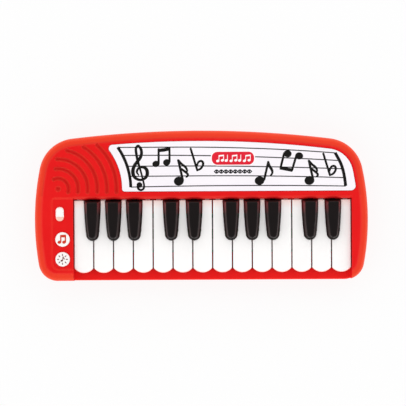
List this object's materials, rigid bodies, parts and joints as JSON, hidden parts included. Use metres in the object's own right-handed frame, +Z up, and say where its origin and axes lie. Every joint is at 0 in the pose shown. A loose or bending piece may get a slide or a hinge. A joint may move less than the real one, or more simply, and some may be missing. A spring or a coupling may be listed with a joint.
{
  "type": "toy electronic keyboard",
  "caption": "Small battery toy keyboard with a bowed red case, rounded white keys, tapered black keys, a printed music-staff inlay, a ribbed speaker fan, two push buttons and a slide switch.",
  "frame": {"origin": "under the middle of the case, on the surface that the rubber feet stand on", "axes": "+Z up, +X to the player's right, +Y away from the player"},
  "size_m": [0.3314, 0.149, 0.037],
  "materials": {
    "case_red": "glossy moulded red ABS",
    "inlay_white": "smooth white polystyrene sheet",
    "key_white": "glossy white ABS",
    "key_black": "glossy black ABS",
    "button_white": "white ABS",
    "silicone": "matt grey silicone",
    "circuit_board": "green solder mask",
    "component_black": "black epoxy",
    "bare_steel": "zinc-plated steel",
    "nickel": "nickel-plated spring steel",
    "speaker_paper": "black pressed paper",
    "magnet_grey": "dull ferrite",
    "cell_wrap": "shrink-wrapped cell",
    "wire_cover": "soft PVC",
    "foot_rubber": "matt black rubber"
  },
  "bodies": {
    "case": {"battery_cells": "cell_wrap", "battery_contacts": "nickel", "battery_springs": "nickel", "battery_wires": "wire_cover", "black_dome_strip": "silicone", "black_key_rail": "key_black", "board_components": "component_black", "board_screws": "bare_steel", "bottom_case": "case_red", "button_membrane": "silicone", "case_screws": "bare_steel", "control_board": "circuit_board", "control_wires": "wire_cover", "key_board_wires": "wire_cover", "key_contact_board": "circuit_board", "main_circuit_board": "circuit_board", "rail_screws": "bare_steel", "rubber_feet": "foot_rubber", "slide_switch": "bare_steel", "speaker_cone": "speaker_paper", "speaker_frame": "bare_steel", "speaker_magnet": "magnet_grey", "speaker_screws": "bare_steel", "speaker_washers": "bare_steel", "speaker_wires": "wire_cover", "staff_panel": "inlay_white", "top_case": "case_red", "white_dome_strip": "silicone", "white_key_rail": "key_white"},
    "white_key_01": {"white_key_01": "key_white"},
    "white_key_02": {"white_key_02": "key_white"},
    "white_key_03": {"white_key_03": "key_white"},
    "white_key_04": {"white_key_04": "key_white"},
    "white_key_05": {"white_key_05": "key_white"},
    "white_key_06": {"white_key_06": "key_white"},
    "white_key_07": {"white_key_07": "key_white"},
    "white_key_08": {"white_key_08": "key_white"},
    "white_key_09": {"white_key_09": "key_white"},
    "white_key_10": {"white_key_10": "key_white"},
    "white_key_11": {"white_key_11": "key_white"},
    "white_key_12": {"white_key_12": "key_white"},
    "white_key_13": {"white_key_13": "key_white"},
    "white_key_14": {"white_key_14": "key_white"},
    "black_key_01": {"black_key_01": "key_black"},
    "black_key_02": {"black_key_02": "key_black"},
    "black_key_03": {"black_key_03": "key_black"},
    "black_key_04": {"black_key_04": "key_black"},
    "black_key_05": {"black_key_05": "key_black"},
    "black_key_06": {"black_key_06": "key_black"},
    "black_key_07": {"black_key_07": "key_black"},
    "black_key_08": {"black_key_08": "key_black"},
    "black_key_09": {"black_key_09": "key_black"},
    "black_key_10": {"black_key_10": "key_black"},
    "song_button": {"song_button": "button_white"},
    "tempo_button": {"tempo_button": "button_white"},
    "power_switch": {"power_switch_knob": "button_white", "switch_lever": "component_black"},
    "battery_door": {"battery_door": "case_red", "battery_door_screw": "bare_steel"}
  },
  "joints": [
    {"name": "white_key_01_press", "type": "hinge", "parent": "case", "child": "white_key_01", "pos_m": [0, 0.016, 0.023], "axis": [1, 0, 0], "range_deg": [0, 2.4], "stiffness_Nm_per_rad": 0.6, "springref_deg": -1.72},
    {"name": "white_key_02_press", "type": "hinge", "parent": "case", "child": "white_key_02", "pos_m": [0, 0.016, 0.023], "axis": [1, 0, 0], "range_deg": [0, 2.4], "stiffness_Nm_per_rad": 0.6, "springref_deg": -1.72},
    {"name": "white_key_03_press", "type": "hinge", "parent": "case", "child": "white_key_03", "pos_m": [0, 0.016, 0.023], "axis": [1, 0, 0], "range_deg": [0, 2.4], "stiffness_Nm_per_rad": 0.6, "springref_deg": -1.72},
    {"name": "white_key_04_press", "type": "hinge", "parent": "case", "child": "white_key_04", "pos_m": [0, 0.016, 0.023], "axis": [1, 0, 0], "range_deg": [0, 2.4], "stiffness_Nm_per_rad": 0.6, "springref_deg": -1.72},
    {"name": "white_key_05_press", "type": "hinge", "parent": "case", "child": "white_key_05", "pos_m": [0, 0.016, 0.023], "axis": [1, 0, 0], "range_deg": [0, 2.4], "stiffness_Nm_per_rad": 0.6, "springref_deg": -1.72},
    {"name": "white_key_06_press", "type": "hinge", "parent": "case", "child": "white_key_06", "pos_m": [0, 0.016, 0.023], "axis": [1, 0, 0], "range_deg": [0, 2.4], "stiffness_Nm_per_rad": 0.6, "springref_deg": -1.72},
    {"name": "white_key_07_press", "type": "hinge", "parent": "case", "child": "white_key_07", "pos_m": [0, 0.016, 0.023], "axis": [1, 0, 0], "range_deg": [0, 2.4], "stiffness_Nm_per_rad": 0.6, "springref_deg": -1.72},
    {"name": "white_key_08_press", "type": "hinge", "parent": "case", "child": "white_key_08", "pos_m": [0, 0.016, 0.023], "axis": [1, 0, 0], "range_deg": [0, 2.4], "stiffness_Nm_per_rad": 0.6, "springref_deg": -1.72},
    {"name": "white_key_09_press", "type": "hinge", "parent": "case", "child": "white_key_09", "pos_m": [0, 0.016, 0.023], "axis": [1, 0, 0], "range_deg": [0, 2.4], "stiffness_Nm_per_rad": 0.6, "springref_deg": -1.72},
    {"name": "white_key_10_press", "type": "hinge", "parent": "case", "child": "white_key_10", "pos_m": [0, 0.016, 0.023], "axis": [1, 0, 0], "range_deg": [0, 2.4], "stiffness_Nm_per_rad": 0.6, "springref_deg": -1.72},
    {"name": "white_key_11_press", "type": "hinge", "parent": "case", "child": "white_key_11", "pos_m": [0, 0.016, 0.023], "axis": [1, 0, 0], "range_deg": [0, 2.4], "stiffness_Nm_per_rad": 0.6, "springref_deg": -1.72},
    {"name": "white_key_12_press", "type": "hinge", "parent": "case", "child": "white_key_12", "pos_m": [0, 0.016, 0.023], "axis": [1, 0, 0], "range_deg": [0, 2.4], "stiffness_Nm_per_rad": 0.6, "springref_deg": -1.72},
    {"name": "white_key_13_press", "type": "hinge", "parent": "case", "child": "white_key_13", "pos_m": [0, 0.016, 0.023], "axis": [1, 0, 0], "range_deg": [0, 2.4], "stiffness_Nm_per_rad": 0.6, "springref_deg": -1.72},
    {"name": "white_key_14_press", "type": "hinge", "parent": "case", "child": "white_key_14", "pos_m": [0, 0.016, 0.023], "axis": [1, 0, 0], "range_deg": [0, 2.4], "stiffness_Nm_per_rad": 0.6, "springref_deg": -1.72},
    {"name": "black_key_01_press", "type": "hinge", "parent": "case", "child": "black_key_01", "pos_m": [0, 0.016, 0.0252], "axis": [1, 0, 0], "range_deg": [0, 2.4], "stiffness_Nm_per_rad": 0.6, "springref_deg": -1.72},
    {"name": "black_key_02_press", "type": "hinge", "parent": "case", "child": "black_key_02", "pos_m": [0, 0.016, 0.0252], "axis": [1, 0, 0], "range_deg": [0, 2.4], "stiffness_Nm_per_rad": 0.6, "springref_deg": -1.72},
    {"name": "black_key_03_press", "type": "hinge", "parent": "case", "child": "black_key_03", "pos_m": [0, 0.016, 0.0252], "axis": [1, 0, 0], "range_deg": [0, 2.4], "stiffness_Nm_per_rad": 0.6, "springref_deg": -1.72},
    {"name": "black_key_04_press", "type": "hinge", "parent": "case", "child": "black_key_04", "pos_m": [0, 0.016, 0.0252], "axis": [1, 0, 0], "range_deg": [0, 2.4], "stiffness_Nm_per_rad": 0.6, "springref_deg": -1.72},
    {"name": "black_key_05_press", "type": "hinge", "parent": "case", "child": "black_key_05", "pos_m": [0, 0.016, 0.0252], "axis": [1, 0, 0], "range_deg": [0, 2.4], "stiffness_Nm_per_rad": 0.6, "springref_deg": -1.72},
    {"name": "black_key_06_press", "type": "hinge", "parent": "case", "child": "black_key_06", "pos_m": [0, 0.016, 0.0252], "axis": [1, 0, 0], "range_deg": [0, 2.4], "stiffness_Nm_per_rad": 0.6, "springref_deg": -1.72},
    {"name": "black_key_07_press", "type": "hinge", "parent": "case", "child": "black_key_07", "pos_m": [0, 0.016, 0.0252], "axis": [1, 0, 0], "range_deg": [0, 2.4], "stiffness_Nm_per_rad": 0.6, "springref_deg": -1.72},
    {"name": "black_key_08_press", "type": "hinge", "parent": "case", "child": "black_key_08", "pos_m": [0, 0.016, 0.0252], "axis": [1, 0, 0], "range_deg": [0, 2.4], "stiffness_Nm_per_rad": 0.6, "springref_deg": -1.72},
    {"name": "black_key_09_press", "type": "hinge", "parent": "case", "child": "black_key_09", "pos_m": [0, 0.016, 0.0252], "axis": [1, 0, 0], "range_deg": [0, 2.4], "stiffness_Nm_per_rad": 0.6, "springref_deg": -1.72},
    {"name": "black_key_10_press", "type": "hinge", "parent": "case", "child": "black_key_10", "pos_m": [0, 0.016, 0.0252], "axis": [1, 0, 0], "range_deg": [0, 2.4], "stiffness_Nm_per_rad": 0.6, "springref_deg": -1.72},
    {"name": "song_button_press", "type": "slide", "parent": "case", "child": "song_button", "axis": [0, 0, -1], "range_m": [0, 0.0015], "stiffness_N_per_m": 300, "springref_m": -0.001},
    {"name": "tempo_button_press", "type": "slide", "parent": "case", "child": "tempo_button", "axis": [0, 0, -1], "range_m": [0, 0.0015], "stiffness_N_per_m": 300, "springref_m": -0.001},
    {"name": "power_switch_slide", "type": "slide", "parent": "case", "child": "power_switch", "axis": [0, 1, 0], "range_m": [0, 0.004]},
    {"name": "battery_door_open", "type": "hinge", "parent": "case", "child": "battery_door", "pos_m": [0.088, 0.0085, 0.0022], "axis": [-1, 0, 0], "range_deg": [0, 80]}
  ]
}
